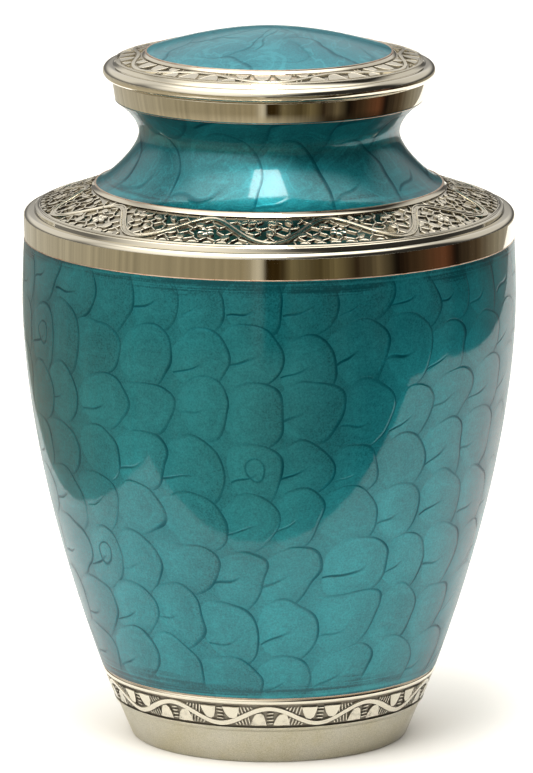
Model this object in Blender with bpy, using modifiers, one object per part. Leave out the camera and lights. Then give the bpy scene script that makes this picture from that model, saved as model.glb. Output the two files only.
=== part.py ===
"""Funeral urn: a hollow brass vessel with engraved rings, and the lid that lifts off it.

Both pieces are turned about the Z axis. The origin is the centre of the underside.
"""
from math import atan2, cos, hypot, pi, radians, sin

import bmesh
import bpy

MM = 0.001

# Facets around every turned piece.
SEGMENTS = 60

# Where the curved stretches have their points: on the body as shares of the height at which it
# is widest, on the neck as shares of its height.
BODY_STATIONS = (1.0, 0.76, 0.5, 0.25, 0.0)
NECK_STATIONS = (0.86, 0.72, 0.6, 0.33, 0.1, 0.0)
INNER_BODY_STATIONS = (0.9, 0.45, 0.0)
INNER_NECK_STATIONS = (0.85, 0.62, 0.44, 0.27, 0.1, 0.0)
# Where the dome has its points, as shares of its radius.
DOME_STATIONS = (0.0, 0.35, 0.7, 1.0)
INNER_DOME_STATIONS = (0.55, 0.0)
# Angles of the rounded edges, in degrees above the horizontal, and their points.
SHOULDER_EDGE_ANGLES = (75, 0)
SHOULDER_EDGE_POINTS = 3
LID_EDGE_ANGLES = (90, -90)
LID_EDGE_POINTS = 5
SHARP_ANGLE = 28
MERGE_DISTANCE = 0.01 * MM

# Vessel: sheet thickness, and the hollow under the foot.
WALL = 1.5 * MM
FOOT_RING_WIDTH = 4.2 * MM
FOOT_RECESS = 3.0 * MM

# Vessel: heights of its stages, from the underside up.
FOOT_HEIGHT = 12.7 * MM
FILLET_HEIGHT = 1.7 * MM
LOWER_RING_HEIGHT = 9.2 * MM
BEAD_HEIGHT = 2.8 * MM
BODY_HEIGHT = 158.6 * MM
SHOULDER_BAND_HEIGHT = 7.6 * MM
SHOULDER_RISE = 12.1 * MM
NECK_HEIGHT = 30.8 * MM
COLLAR_HEIGHT = 7.6 * MM

# Vessel: radii of its stages, from the underside up.
FOOT_RADIUS = 50.0 * MM
FOOT_TOP_RADIUS = 55.7 * MM
LOWER_RING_BOTTOM_RADIUS = 57.0 * MM
LOWER_RING_TOP_RADIUS = 60.5 * MM
BODY_BOTTOM_RADIUS = 61.5 * MM
BODY_WIDEST_RADIUS = 89.9 * MM
BODY_TOP_RADIUS = 89.2 * MM
SHOULDER_RADIUS = 89.35 * MM
SHOULDER_RING_OUTER_RADIUS = 83.2 * MM
SHOULDER_RING_INNER_RADIUS = 65.2 * MM
NECK_FOOT_RADIUS = 63.1 * MM
WAIST_RADIUS = 47.3 * MM
COLLAR_BOTTOM_RADIUS = 56.0 * MM
COLLAR_TOP_RADIUS = 57.0 * MM
MOUTH_RADIUS = 53.2 * MM

# Vessel: where the body is widest, how fast it swells, and where the neck is thinnest.
BODY_WIDEST_HEIGHT = 135.6 * MM
BODY_SWELL = 1.74
WAIST_HEIGHT = 18.3 * MM
NECK_SWELL = 1.6
NECK_FLARE = 0.075

# Vessel: small mouldings.
EDGE_BREAK = 0.7 * MM
BEAD_PROUD = 0.5 * MM
SHOULDER_EDGE_ROUND = 2.0 * MM
SHOULDER_LEDGE_RISE = 4.2 * MM
SHOULDER_GROOVE_WIDTH = 0.9 * MM
NECK_RIM_DROP = 1.3 * MM

# Engraved rings: waves of the vine, and the angle from +X at which it first bends outwards.
LOWER_WAVES = 10
LOWER_VINE_ANGLE = radians(0)
SHOULDER_WAVES = 10
SHOULDER_VINE_ANGLE = radians(18)
LID_WAVES = 6
LID_VINE_ANGLE = radians(30)
# Engraved rings: depth of the cut ground, width of the vine, land that its waves keep clear.
RELIEF_DEPTH = 0.7 * MM
LEAF_DEPTH = 0.1 * MM
LEAF_MARGIN = 0.6 * MM
WALL_LEAN = 0.15 * MM
LOWER_VINE_WIDTH = 1.3 * MM
SHOULDER_VINE_WIDTH = 2.2 * MM
LID_VINE_WIDTH = 1.3 * MM
VINE_LAND = 0.7 * MM
# A leaf stands where the vine is at least this far to the other side, as a share of its sway.
LEAF_WAVE = 0.6

# Lid: its rounded edge, engraved ring, dome and the plug that hangs in the mouth.
LID_GAP = 0.3 * MM
LID_RADIUS = 60.35 * MM
LID_EDGE_HEIGHT = 4.9 * MM
LID_GROOVE_WIDTH = 1.5 * MM
LID_RING_OUTER_RADIUS = 55.2 * MM
LID_RING_INNER_RADIUS = 46.0 * MM
LID_RING_STEP = 1.9 * MM
LID_RING_RISE = 1.6 * MM
LID_RIM_RISE = 1.0 * MM
DOME_RADIUS = 44.5 * MM
DOME_HEIGHT = 8.3 * MM
DOME_SWELL = 1.7
LID_WALL = 1.5 * MM
PLUG_CLEARANCE = 0.6 * MM
PLUG_WALL = 1.8 * MM
PLUG_DEPTH = 6.5 * MM

# Heights that follow from the stages.
Z_FILLET = FOOT_HEIGHT + FILLET_HEIGHT
Z_LOWER_RING_TOP = Z_FILLET + LOWER_RING_HEIGHT
Z_BODY_BOTTOM = Z_LOWER_RING_TOP + BEAD_HEIGHT
Z_BODY_TOP = Z_BODY_BOTTOM + BODY_HEIGHT
Z_SHOULDER = Z_BODY_TOP + SHOULDER_BAND_HEIGHT
Z_NECK_FOOT = Z_SHOULDER + SHOULDER_RISE
Z_COLLAR = Z_NECK_FOOT + NECK_HEIGHT
Z_MOUTH = Z_COLLAR + COLLAR_HEIGHT
Z_LID = Z_MOUTH + LID_GAP
Z_DOME = Z_LID + LID_EDGE_HEIGHT + LID_RING_STEP + LID_RING_RISE + LID_RIM_RISE


def clear_scene():
    for old in list(bpy.data.objects):
        bpy.data.objects.remove(old, do_unlink=True)


def material(name, color, metallic, roughness):
    """A plain Principled material in the part's colour."""
    made = bpy.data.materials.new(name)
    made.use_nodes = True
    shader = made.node_tree.nodes["Principled BSDF"]
    shader.inputs["Base Color"].default_value = (*color, 1.0)
    shader.inputs["Metallic"].default_value = metallic
    shader.inputs["Roughness"].default_value = roughness
    return made


class Ring:
    """An engraved ring: a straight run of the outline, cut down around a wavy vine and its leaves.

    It runs from start to end, both (radius, height), down the outer side of the piece.
    """

    def __init__(self, start, end, vine_width, waves, vine_angle):
        self.start = start
        self.waves = waves
        self.vine_angle = vine_angle
        self.length = hypot(end[0] - start[0], end[1] - start[1])
        self.along = ((end[0] - start[0]) / self.length, (end[1] - start[1]) / self.length)
        self.outward = (-self.along[1], self.along[0])
        self.sway = (self.length - vine_width) / 2 - VINE_LAND - WALL_LEAN
        middle = self.length / 2
        crown = vine_width / 2
        root = crown + WALL_LEAN
        # Each row has its distance from start, its depth, and its share of the vine's sway.
        self.rows = [
            (WALL_LEAN, RELIEF_DEPTH, 0),
            (middle - root, RELIEF_DEPTH, 1),
            (middle - crown, 0.0, 1),
            (middle + crown, 0.0, 1),
            (middle + root, RELIEF_DEPTH, 1),
            (self.length - WALL_LEAN, RELIEF_DEPTH, 0),
        ]

    def point(self, distance, depth):
        return (self.start[0] + self.along[0] * distance - self.outward[0] * depth,
                self.start[1] + self.along[1] * distance - self.outward[1] * depth)

    def outline(self):
        return [self.point(distance, depth) for distance, depth, _ in self.rows]

    def row_at(self, radius, height):
        """Index of the row that a point of the turned mesh is in, or None."""
        for index, place in enumerate(self.outline()):
            if hypot(place[0] - radius, place[1] - height) < MERGE_DISTANCE:
                return index
        return None

    def carve(self, work):
        """Bend the vine's rows into waves, and raise two leaves in every hollow between them."""
        rows = {}
        waves = {}
        for vertex in work.verts:
            row = self.row_at(hypot(vertex.co.x, vertex.co.y), vertex.co.z)
            if row is None:
                continue
            distance, depth, share = self.rows[row]
            angle = atan2(vertex.co.y, vertex.co.x)
            rows[vertex] = row
            waves[vertex] = cos(self.waves * (angle - self.vine_angle))
            radius, height = self.point(distance + share * self.sway * waves[vertex], depth)
            vertex.co = (radius * cos(angle), radius * sin(angle), height)
        leaves = []
        for face in work.faces:
            if not all(vertex in rows for vertex in face.verts):
                continue
            face.smooth = False
            side = {(0, 1): 1, (4, 5): -1}.get(tuple(sorted({rows[v] for v in face.verts})), 0)
            if side * sum(waves[vertex] for vertex in face.verts) / 4 > LEAF_WAVE:
                leaves.append(face)
        bmesh.ops.inset_individual(work, faces=leaves, thickness=LEAF_MARGIN,
                                   depth=RELIEF_DEPTH - LEAF_DEPTH, use_even_offset=True)


def body_radius(height):
    """Radius of the enamelled body at a height above its lower edge."""
    if height < BODY_WIDEST_HEIGHT:
        share = (BODY_WIDEST_HEIGHT - height) / BODY_WIDEST_HEIGHT
        return BODY_WIDEST_RADIUS - (BODY_WIDEST_RADIUS - BODY_BOTTOM_RADIUS) * share ** BODY_SWELL
    share = (height - BODY_WIDEST_HEIGHT) / (BODY_HEIGHT - BODY_WIDEST_HEIGHT)
    return BODY_WIDEST_RADIUS - (BODY_WIDEST_RADIUS - BODY_TOP_RADIUS) * share ** 2


def neck_radius(height):
    """Radius of the neck at a height above its foot: a hollow curve, thinnest at the waist."""
    if height < WAIST_HEIGHT:
        share = (WAIST_HEIGHT - height) / WAIST_HEIGHT
        curve = (1 - NECK_FLARE) * share ** NECK_SWELL + NECK_FLARE * share ** 20
        return WAIST_RADIUS + (NECK_FOOT_RADIUS - WAIST_RADIUS) * curve
    share = (height - WAIST_HEIGHT) / (NECK_HEIGHT - WAIST_HEIGHT)
    return WAIST_RADIUS + (COLLAR_BOTTOM_RADIUS - WAIST_RADIUS) * share ** 2


def dome_height(radius):
    """Height of the lid's dome above its edge at a radius."""
    return DOME_HEIGHT * (1 - (radius / DOME_RADIUS) ** DOME_SWELL)


def body_points(shares):
    heights = [share * BODY_WIDEST_HEIGHT for share in shares]
    return [(body_radius(height), Z_BODY_BOTTOM + height) for height in heights]


def neck_points(shares):
    heights = [share * NECK_HEIGHT for share in shares]
    return [(neck_radius(height), Z_NECK_FOOT + height) for height in heights]


def dome_points(shares, drop=0.0):
    radii = [share * DOME_RADIUS for share in shares]
    return [(radius, Z_DOME + dome_height(radius) - drop) for radius in radii]


def arc(center, radius, angles, count):
    """Points of an arc in the outline's plane, between two angles in degrees."""
    first, last = angles
    points = []
    for step in range(count):
        angle = radians(first + (last - first) * step / (count - 1))
        points.append((center[0] + radius * cos(angle), center[1] + radius * sin(angle)))
    return points


def inward_normal(start, end):
    """Direction into the material, beside a stretch that runs down the outer side."""
    length = hypot(end[0] - start[0], end[1] - start[1])
    return ((end[1] - start[1]) / length, (start[0] - end[0]) / length)


def offset_inside(points, distance):
    """The same line moved into the material by a distance, with mitred corners."""
    normals = [inward_normal(start, end) for start, end in zip(points, points[1:])]
    moved = []
    for index, point in enumerate(points):
        before = normals[max(index - 1, 0)]
        after = normals[min(index, len(normals) - 1)]
        share = distance / (1 + before[0] * after[0] + before[1] * after[1])
        moved.append((point[0] + (before[0] + after[0]) * share,
                      point[1] + (before[1] + after[1]) * share))
    return moved


def turned(name, outline, rings, finish, collection):
    """A closed outline turned about Z, with its engraved rings carved."""
    mesh = bpy.data.meshes.new(name)
    mesh.from_pydata([(radius, 0.0, height) for radius, height in outline],
                     [(index, index + 1) for index in range(len(outline) - 1)], [])
    piece = bpy.data.objects.new(name, mesh)
    collection.objects.link(piece)
    screw = piece.modifiers.new("turn", 'SCREW')
    screw.axis = 'Z'
    screw.angle = 2 * pi
    screw.steps = SEGMENTS
    screw.render_steps = SEGMENTS
    screw.use_merge_vertices = True
    screw.merge_threshold = MERGE_DISTANCE
    bpy.context.view_layer.objects.active = piece
    piece.select_set(True)
    bpy.ops.object.modifier_apply(modifier=screw.name)
    piece.select_set(False)
    piece.data.shade_smooth()
    work = bmesh.new()
    work.from_mesh(piece.data)
    bmesh.ops.remove_doubles(work, verts=work.verts, dist=MERGE_DISTANCE)
    for ring in rings:
        ring.carve(work)
    work.to_mesh(piece.data)
    work.free()
    piece.data.set_sharp_from_angle(angle=radians(SHARP_ANGLE))
    piece.data.materials.append(finish)
    return piece


def lower_ring():
    return Ring((LOWER_RING_TOP_RADIUS, Z_LOWER_RING_TOP), (LOWER_RING_BOTTOM_RADIUS, Z_FILLET),
                LOWER_VINE_WIDTH, LOWER_WAVES, LOWER_VINE_ANGLE)


def shoulder_ring():
    return Ring((SHOULDER_RING_INNER_RADIUS, Z_NECK_FOOT - NECK_RIM_DROP),
                (SHOULDER_RING_OUTER_RADIUS, Z_SHOULDER + SHOULDER_LEDGE_RISE),
                SHOULDER_VINE_WIDTH, SHOULDER_WAVES, SHOULDER_VINE_ANGLE)


def lid_ring():
    top = Z_LID + LID_EDGE_HEIGHT + LID_RING_STEP
    return Ring((LID_RING_INNER_RADIUS, top + LID_RING_RISE), (LID_RING_OUTER_RADIUS, top),
                LID_VINE_WIDTH, LID_WAVES, LID_VINE_ANGLE)


def vessel_outside(upper, lower):
    """The vessel's outer side, from the mouth down to the middle of the underside."""
    collar = [(COLLAR_TOP_RADIUS, Z_MOUTH), (COLLAR_BOTTOM_RADIUS, Z_COLLAR)]
    neck = neck_points(NECK_STATIONS)
    ledge = Z_SHOULDER + SHOULDER_LEDGE_RISE
    groove = SHOULDER_RING_OUTER_RADIUS + SHOULDER_GROOVE_WIDTH
    bead = [(SHOULDER_RING_OUTER_RADIUS, ledge), (groove, ledge - EDGE_BREAK),
            (groove + SHOULDER_GROOVE_WIDTH, ledge - EDGE_BREAK)]
    edge = arc((SHOULDER_RADIUS - SHOULDER_EDGE_ROUND, Z_SHOULDER), SHOULDER_EDGE_ROUND,
               SHOULDER_EDGE_ANGLES, SHOULDER_EDGE_POINTS)
    body = [(BODY_TOP_RADIUS, Z_BODY_TOP)] + body_points(BODY_STATIONS)
    bead_radius = (LOWER_RING_TOP_RADIUS + BODY_BOTTOM_RADIUS) / 2
    low_bead = [(bead_radius + BEAD_PROUD / 2, Z_BODY_BOTTOM - BEAD_HEIGHT / 2),
                (LOWER_RING_TOP_RADIUS, Z_LOWER_RING_TOP)]
    fillet = [(LOWER_RING_BOTTOM_RADIUS, Z_FILLET), (FOOT_TOP_RADIUS, FOOT_HEIGHT)]
    foot = [(FOOT_RADIUS + EDGE_BREAK, EDGE_BREAK), (FOOT_RADIUS, 0.0),
            (FOOT_RADIUS - FOOT_RING_WIDTH, 0.0), (FOOT_RADIUS - FOOT_RING_WIDTH, FOOT_RECESS),
            (0.0, FOOT_RECESS)]
    return (collar + neck + upper.outline() + bead + edge + body + low_bead
            + lower.outline() + fillet + foot)


def vessel_inside():
    """The vessel's inner side, from the middle of its floor up to the mouth."""
    shell = WALL + RELIEF_DEPTH
    skin = [(MOUTH_RADIUS + WALL, Z_MOUTH), (MOUTH_RADIUS + WALL, Z_COLLAR)]
    skin += neck_points(INNER_NECK_STATIONS)
    skin += [(SHOULDER_RADIUS, Z_SHOULDER), (BODY_TOP_RADIUS, Z_BODY_TOP)]
    skin += body_points(INNER_BODY_STATIONS)
    inner = offset_inside(skin, WALL)
    inner[0] = (MOUTH_RADIUS, Z_MOUTH)
    inner[1] = (MOUTH_RADIUS, Z_COLLAR)
    floor = FOOT_RECESS + WALL
    foot_share = floor / FOOT_HEIGHT
    foot_radius = FOOT_RADIUS + (FOOT_TOP_RADIUS - FOOT_RADIUS) * foot_share
    inner += [(LOWER_RING_BOTTOM_RADIUS - shell, Z_FILLET), (foot_radius - shell, floor),
              (0.0, floor)]
    return inner[::-1]


def lid_outside(ring):
    """The lid's outer side, from the middle of the dome down to its rounded edge's underside."""
    half = LID_EDGE_HEIGHT / 2
    dome = dome_points(DOME_STATIONS)
    step = Z_LID + LID_EDGE_HEIGHT
    shelf = [(LID_RING_OUTER_RADIUS, step + LID_RING_STEP),
             (LID_RADIUS - half - LID_GROOVE_WIDTH, step)]
    edge = arc((LID_RADIUS - half, Z_LID + half), half, LID_EDGE_ANGLES, LID_EDGE_POINTS)
    return dome + ring.outline() + shelf + edge


def lid_inside():
    """The lid's underside, from the plug up to the middle of its hollow."""
    plug = MOUTH_RADIUS - PLUG_CLEARANCE
    bore = plug - PLUG_WALL
    ceiling = Z_DOME - LID_RIM_RISE - RELIEF_DEPTH - LID_WALL
    fall = LID_RING_RISE / (LID_RING_OUTER_RADIUS - LID_RING_INNER_RADIUS)
    return ([(plug, Z_LID), (plug, Z_LID - PLUG_DEPTH), (bore, Z_LID - PLUG_DEPTH),
             (bore, ceiling - (bore - LID_RING_INNER_RADIUS) * fall),
             (LID_RING_INNER_RADIUS, ceiling)]
            + dome_points(INNER_DOME_STATIONS, LID_WALL))


def main():
    clear_scene()
    collection = bpy.data.collections.new("funeral_urn")
    bpy.context.scene.collection.children.link(collection)
    enamel = material("teal_enamel", (0.036, 0.235, 0.262), 0.0, 0.15)
    nickel = material("nickel_plate", (0.55, 0.53, 0.46), 1.0, 0.16)
    upper = shoulder_ring()
    lower = lower_ring()
    turned("vessel", vessel_inside() + vessel_outside(upper, lower), (upper, lower), enamel,
           collection)
    top = lid_ring()
    turned("lid", lid_outside(top) + lid_inside(), (top,), nickel, collection)


main()
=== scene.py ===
"""Looks of the funeral urn: pearl enamel, engraved nickel rings and polished bands on its solids.

Everything is turned about Z and in metres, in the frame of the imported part. The front faces -Y.
"""

import random
from functools import partial
from math import atan2, cos, hypot, pi, radians, sin

import bpy
from bpy.props import FloatProperty, FloatVectorProperty, IntProperty, PointerProperty
from mathutils import Matrix, Vector


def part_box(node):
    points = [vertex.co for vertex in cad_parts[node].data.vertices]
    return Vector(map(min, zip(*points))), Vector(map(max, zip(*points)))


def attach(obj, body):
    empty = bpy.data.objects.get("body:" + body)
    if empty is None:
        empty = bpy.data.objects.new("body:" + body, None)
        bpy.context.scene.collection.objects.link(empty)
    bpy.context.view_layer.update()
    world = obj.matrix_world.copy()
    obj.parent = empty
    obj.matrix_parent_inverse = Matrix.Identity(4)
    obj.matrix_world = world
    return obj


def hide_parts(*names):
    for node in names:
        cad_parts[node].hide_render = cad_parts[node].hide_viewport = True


bl_info = {
    "name": "Funeral urn",
    "version": (1, 0, 0),
    "blender": (4, 5, 0),
    "location": "3D View > Sidebar > Urn",
    "description": "Builds the pieces, finishes and studio of an enamelled funeral urn",
    "category": "Object",
}

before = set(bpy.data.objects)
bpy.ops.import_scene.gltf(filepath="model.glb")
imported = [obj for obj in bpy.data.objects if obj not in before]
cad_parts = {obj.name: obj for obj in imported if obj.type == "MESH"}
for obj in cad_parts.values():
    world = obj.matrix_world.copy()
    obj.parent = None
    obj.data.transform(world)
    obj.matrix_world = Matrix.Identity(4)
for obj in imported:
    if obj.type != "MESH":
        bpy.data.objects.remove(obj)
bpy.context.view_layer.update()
lid_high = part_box("lid")[1]
vessel_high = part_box("vessel")[1]

MM = 0.001
MERGE_DISTANCE = 0.005 * MM
SHARP_ANGLE = radians(32)
CARVED_SHARP_ANGLE = radians(24)
SUNK = 0.1 * MM  # how deep raised shapes stand in the ground they rise from
LEAF_LEAN = 0.12 * MM  # how far a leaf's wall leans in
SHEET = 0.6 * MM  # thickness of an enamelled layer
BODY_CURVE, DOME_CURVE, TOP_CURVE = 1.74, 1.7, 2
NECK_CURVE, NECK_LIP_CURVE = 1.6, 20
NECK_LIP = 0.075  # share of the neck's spread that lies in the lip at its foot
INSIDE_SEGMENTS, PLUG_SEGMENTS = 128, 192

# Dabs of enamel, measured in the dabs' spacing across and the rows' spacing up.
NECK_DABS, DOME_DABS = 12.0, 7.0
NECK_ROWS = 1.3
DOME_ROW = 9 * MM
ROW_WANDER, ROW_LEAN = 0.22, -0.06
DAB_WANDER = (0.16, 0.18)
DAB_MIDDLE = (0.38, 0.41)
DAB_HALF_WIDTH = 0.55
DAB_UPPER, DAB_LOWER = 0.5, 0.68
BARE_MARK = (0.6, 0.0, 0.5)  # the place in a dab that counts where no dab reaches
RIM = (0.88, 0.97)  # from the dab's middle 0 to its edge 1: where the rim's line darkens
RIM_SIDES = (-0.5, 0.8, 0.15, 1.0)  # from its lower left to its upper right, and how dark
SHADOW = (1.0, 1.4, 0.26, 0.0)  # painted shadow just outside the rim, and how dark
DRAG_SLOPE, DRAG_LOW = 0.3, -0.16
DRAG_WAVES, DRAG_SWING = 5.5, 0.035
DRAG_WIDTH = (0.01, 0.055, 1.0, 0.0)
DRAG_FADE = (-0.3, 0.12, 1.0, 0.0)
DRAG_CHANCE = (0.2, 0.4)
RING_SIZE, RING_CHANCE = 0.36, 0.955
RING_WIDTH = (0.01, 0.06, 0.9, 0.0)

CROWN_RANGE = (0.3, 0.85)  # relief at which a carving's wax ends and its bright crown starts

# Corners of the small table that the reflections show, and colours of the room beyond it, by
# the share of a turn from behind by way of the left.
TABLE_CORNERS = [(-0.25, -0.175), (0.46, -0.215), (0.62, -0.06), (0.66, 5.0), (-0.25, 5.0)]
ROOM_COLOURS = [
    (0.0, "#DAD5C8"), (0.15, "#CBC4B2"), (0.3, "#B2A88F"), (0.47, "#A89B7E"),
    (0.49, "#DCD4C0"), (0.496, "#33260F"), (0.512, "#3A2C14"), (0.53, "#7D7254"),
    (0.56, "#54492F"), (0.585, "#7A6E4E"), (0.61, "#33271A"), (0.64, "#6E624A"),
    (0.665, "#120D0A"), (0.7, "#4A3826"), (0.74, "#6E4630"), (0.76, "#1E1610"),
    (0.81, "#5A4C3A"), (0.86, "#9A9280"), (1.0, "#CFCBC0")]
# Name, place, aim, width, height, power in watts, and whether reflections see it.
LAMPS = [("top_softbox", (-0.02, -0.42, 1.35), (0, 0, 0.2), 0.36, 0.85, 12, True),
         ("table_light_left", (-1.2, 0.2, 2.2), (0, 0, 0), 2.2, 2.2, 9, False),
         ("table_light_right", (1.2, 0.2, 2.2), (0, 0, 0), 2.2, 2.2, 9, False)]


def linear(code):
    """An sRGB hex colour as the linear values that Blender's colours hold."""
    values = [int(code[place:place + 2], 16) / 255 for place in (1, 3, 5)]
    return tuple(v / 12.92 if v <= 0.04045 else ((v + 0.055) / 1.055) ** 2.4 for v in values)


def size(name, description, millimetres):
    """A length, given in millimetres."""
    return FloatProperty(name=name, description=description, default=millimetres * MM, min=0.0,
                         subtype="DISTANCE", unit="LENGTH", precision=5)


def colour(name, description, code):
    """A colour, given as sRGB hex."""
    return FloatVectorProperty(name=name, description=description, default=linear(code), size=3,
                               min=0.0, max=1.0, subtype="COLOR")


def angle(name, description, degrees):
    """An angle, given in degrees."""
    return FloatProperty(name=name, description=description, default=radians(degrees),
                         subtype="ANGLE", unit="ROTATION")


class UrnTurning(bpy.types.PropertyGroup):
    """Sizes of the turned stages, from the underside up."""

    segments: IntProperty(name="Segments", description="Facets round each turned piece",
                          default=256, min=24, max=512)
    wall: size("Wall", "Thickness of the brass sheet", 1.5)
    foot_ring: size("Foot ring", "Width of the flat ring it stands on", 4.2)
    foot_recess: size("Foot recess", "Depth of the hollow under the foot", 3.0)
    foot_height: size("Foot height", "Height of the plain foot", 12.7)
    foot_radius: size("Foot radius", "Radius of the foot on the table", 50.0)
    foot_top: size("Foot top", "Radius of the foot under the fillet", 55.7)
    fillet: size("Fillet", "Height of the step over the foot", 1.7)
    lower_height: size("Lower ring height", "Height of the lower engraved ring", 9.2)
    lower_bottom: size("Lower ring bottom", "Radius at the lower ring's bottom edge", 57.0)
    lower_top: size("Lower ring top", "Radius at the lower ring's top edge", 60.5)
    bead: size("Bead", "Height of the bead under the body", 2.8)
    body_height: size("Body height", "Height of the enamelled body", 158.6)
    body_bottom: size("Body bottom", "Radius of the body at the bead", 61.5)
    body_widest: size("Body widest", "Largest radius of the body", vessel_high.x / MM)
    widest_height: size("Widest height", "Height over the bead at which it is widest", 135.6)
    body_top: size("Body top", "Radius of the body under the band", 89.2)
    band: size("Band", "Height of the polished shoulder band", 7.6)
    shoulder: size("Shoulder", "Radius of the shoulder band", 89.35)
    edge_round: size("Shoulder edge", "Radius of the shoulder's rounded edge", 2.0)
    ledge: size("Ledge", "Rise from the band to the engraved ring's edge", 4.2)
    groove: size("Groove", "Width of the groove beside the engraved ring", 0.9)
    ring_outer: size("Shoulder ring outer", "Outer radius of the shoulder ring", 83.2)
    ring_inner: size("Shoulder ring inner", "Inner radius of the shoulder ring", 64.5)
    shoulder_rise: size("Shoulder rise", "Rise from the band to the neck", 12.1)
    rim_drop: size("Neck rim", "Fall of the rim round the neck's foot", 1.3)
    neck_height: size("Neck height", "Height of the enamelled neck", 30.8)
    neck_foot: size("Neck foot", "Radius of the neck's foot", 63.1)
    waist: size("Waist", "Smallest radius of the neck", 47.3)
    waist_height: size("Waist height", "Height of the waist over the neck's foot", 18.3)
    collar_height: size("Collar height", "Height of the polished collar", 7.6)
    collar_bottom: size("Collar bottom", "Radius at the collar's bottom edge", 56.0)
    collar_top: size("Collar top", "Radius at the collar's top edge", 57.0)
    mouth: size("Mouth", "Radius of the mouth", 53.2)
    lid_radius: size("Lid radius", "Radius of the lid's rounded edge", lid_high.x / MM)
    lid_edge: size("Lid edge", "Height of the lid's rounded edge", 4.9)
    lid_groove: size("Lid groove", "Width of the groove inside the rounded edge", 1.5)
    lid_step: size("Lid step", "Rise from the groove to the lid's ring", 1.9)
    lid_ring_outer: size("Lid ring outer", "Outer radius of the lid's engraved ring", 55.2)
    lid_ring_inner: size("Lid ring inner", "Inner radius of the lid's engraved ring", 46.0)
    lid_ring_rise: size("Lid ring rise", "Rise across the lid's engraved ring", 1.6)
    lid_rim: size("Lid rim", "Rise of the rim round the dome", 1.0)
    dome_radius: size("Dome radius", "Radius of the enamelled dome", 44.5)
    dome_height: size("Dome height", "Height of the enamelled dome", 8.3)
    plug_gap: size("Plug clearance", "Play between the plug and the mouth", 0.6)
    plug_wall: size("Plug wall", "Thickness of the plug", 1.8)
    plug_depth: size("Plug depth", "Depth of the plug below the lid", 6.5)


class UrnEngraving(bpy.types.PropertyGroup):
    """The engraved rings: a vine in waves, with leaves, flowers and hatching in its hollows."""

    depth: size("Depth", "Depth of the cut ground", 0.7)
    land: size("Land", "Ground left between the vine and the borders", 0.7)
    lower_waves: IntProperty(name="Lower waves", description="Waves of the lower vine",
                             default=10, min=3)
    shoulder_waves: IntProperty(name="Shoulder waves", description="Waves of the shoulder vine",
                                default=10, min=3)
    lid_waves: IntProperty(name="Lid waves", description="Waves of the lid's vine",
                           default=6, min=3)
    lower_angle: angle("Lower vine angle", "Where the lower vine first bends outwards", 0)
    shoulder_angle: angle("Shoulder vine angle", "Where the vine first bends outwards", 18)
    lid_angle: angle("Lid vine angle", "Where the lid's vine first bends outwards", 30)
    lower_vine: size("Lower vine", "Width of the lower vine", 1.6)
    shoulder_vine: size("Shoulder vine", "Width of the shoulder vine", 2.2)
    lid_vine: size("Lid vine", "Width of the lid's vine", 1.3)
    stroke: size("Stroke", "Width of a hatching stroke", 0.38)
    cell: size("Cell", "Width of a cell in the shoulder ring's ground", 5.0)


class UrnEnamel(bpy.types.PropertyGroup):
    """The enamel: pearl colour laid on in thumb dabs under a clear gloss."""

    dab: size("Dab", "Spacing of the dabs along a row", 19.5)
    row: size("Row", "Spacing of the rows of dabs", 20.3)
    deep: colour("Deep teal", "Enamel where it is thick", "#0A4850")
    pale: colour("Pale teal", "Enamel where the pearl shows", "#227F88")
    # The line colour also paints the shadow just outside each dab's rim.
    line: colour("Dab line", "Pigment drawn together at the rim of a dab", "#00404A")
    dome_deep: colour("Deep dome teal", "Enamel of the lid where it is thick", "#115A69")
    dome: colour("Pale dome teal", "Enamel of the lid where the pearl shows", "#3E8E9A")


class UrnMetal(bpy.types.PropertyGroup):
    """The metals: nickel plate on brass, and what shows at its edges and in its cuts."""

    nickel: colour("Nickel", "Warm nickel plate", "#D5CFBF")
    satin: colour("Satin nickel", "Plate of the foot, dulled by blasting", "#C0BCAD")
    patina: colour("Patina", "Dark wax and tarnish left in the cuts", "#2E2415")
    copper: colour("Copper edge", "Copper undercoat at the enamel's edges", "#A86C45")
    brass: colour("Brass", "Bare spun brass inside", "#C9A558")


class UrnStudio(bpy.types.PropertyGroup):
    """Where the camera stands, and how the studio is lit."""

    camera_distance: size("Camera distance", "From the urn's axis to the camera", 2920.0)
    camera_height: size("Camera height", "Height of the camera over the table", 731.9)
    aim_height: size("Aim height", "Height of the point the camera looks at", 128.6)
    side: FloatProperty(name="Side step", description="Camera's place across the axis",
                        default=-0.99 * MM, subtype="DISTANCE", unit="LENGTH", precision=5)
    lens: FloatProperty(name="Lens", description="Focal length in mm on a 36 mm sensor",
                        default=380.4, min=1.0, unit="CAMERA")
    floor: colour("Table", "Pale table top", "#F2F1EE")


# ---- turning ----

def arc(center, radius, first, last, count):
    """Points of an arc in the outline's plane, between two angles in degrees."""
    turn_angles = [radians(first + (last - first) * step / (count - 1)) for step in range(count)]
    return [(center[0] + radius * cos(a), center[1] + radius * sin(a)) for a in turn_angles]


def inside_line(points, distance):
    """A line that runs down the outer side, moved into the material by a distance."""
    normals = []
    for start, end in zip(points, points[1:]):
        length = hypot(end[0] - start[0], end[1] - start[1])
        normals.append(((end[1] - start[1]) / length, (start[0] - end[0]) / length))
    moved = []
    for index, point in enumerate(points):
        before = normals[max(index - 1, 0)]
        after = normals[min(index, len(normals) - 1)]
        share = distance / max(1 + before[0] * after[0] + before[1] * after[1], 0.6)
        moved.append((max(point[0] + (before[0] + after[0]) * share, 0.0),
                      point[1] + (before[1] + after[1]) * share))
    return moved


def layer(points, thickness):
    """The closed outline of a layer whose outer side is these points."""
    return points + inside_line(points, thickness)[::-1]


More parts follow.
